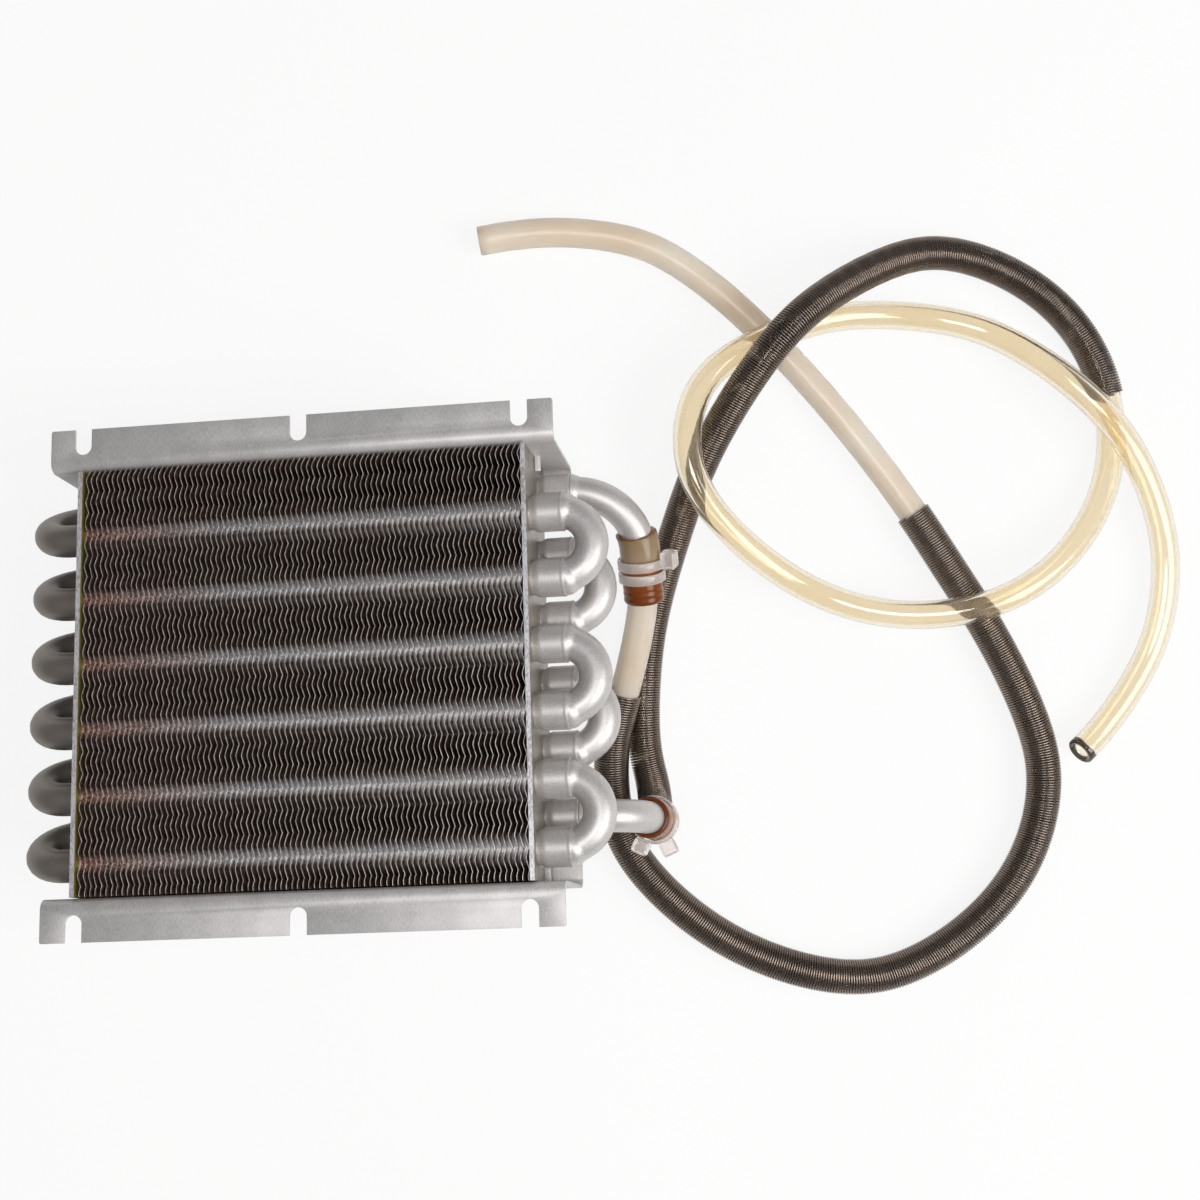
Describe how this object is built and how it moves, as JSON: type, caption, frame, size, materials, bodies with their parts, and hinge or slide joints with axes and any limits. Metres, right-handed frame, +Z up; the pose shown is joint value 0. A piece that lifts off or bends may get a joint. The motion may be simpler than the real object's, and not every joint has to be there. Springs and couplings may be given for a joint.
{
  "type": "wort chiller heat exchanger",
  "caption": "Finned-tube heat exchanger coil with slotted mounting brackets, return bends at both sides and two hoses in spring guards.",
  "frame": {"origin": "on the table, under the centre of the box round the exchanger without its hoses", "axes": "+Z up from the table; +X along the exchanger's width toward its ports; +Y toward its upper bracket"},
  "size_m": [0.4643, 0.3217, 0.105],
  "materials": {
    "plate": "bright sheet, satin",
    "fin": "thin fins, dark between, with light edges",
    "tube": "satin",
    "sleeve": "amber silicone rubber, glossy",
    "tie": "natural nylon",
    "bracket": "zinc-plated sheet, satin",
    "spring": "close-coiled steel wire",
    "silicone": "translucent silicone",
    "clear_pvc": "clear, slightly yellow"
  },
  "bodies": {
    "root": {"left_end_plate": "plate", "right_end_plate": "plate", "fin_pack": "fin", "hairpin_tube_1": "tube", "hairpin_tube_2": "tube", "hairpin_tube_3": "tube", "hairpin_tube_4": "tube", "hairpin_tube_5": "tube", "hairpin_tube_6": "tube", "front_return_bend_1": "tube", "front_return_bend_2": "tube", "front_return_bend_3": "tube", "rear_return_bend_1": "tube", "rear_return_bend_2": "tube", "upper_port_elbow": "tube", "upper_coupling_sleeve": "sleeve", "upper_tie_1": "tie", "upper_tie_2": "tie", "lower_port_elbow": "tube", "lower_coupling_sleeve": "sleeve", "lower_tie_1": "tie", "lower_tie_2": "tie", "upper_bracket": "bracket", "lower_bracket": "bracket", "silicone_hose": "silicone", "silicone_hose_guard": "spring", "clear_hose": "clear_pvc", "clear_hose_guard": "spring"}
  },
  "joints": []
}
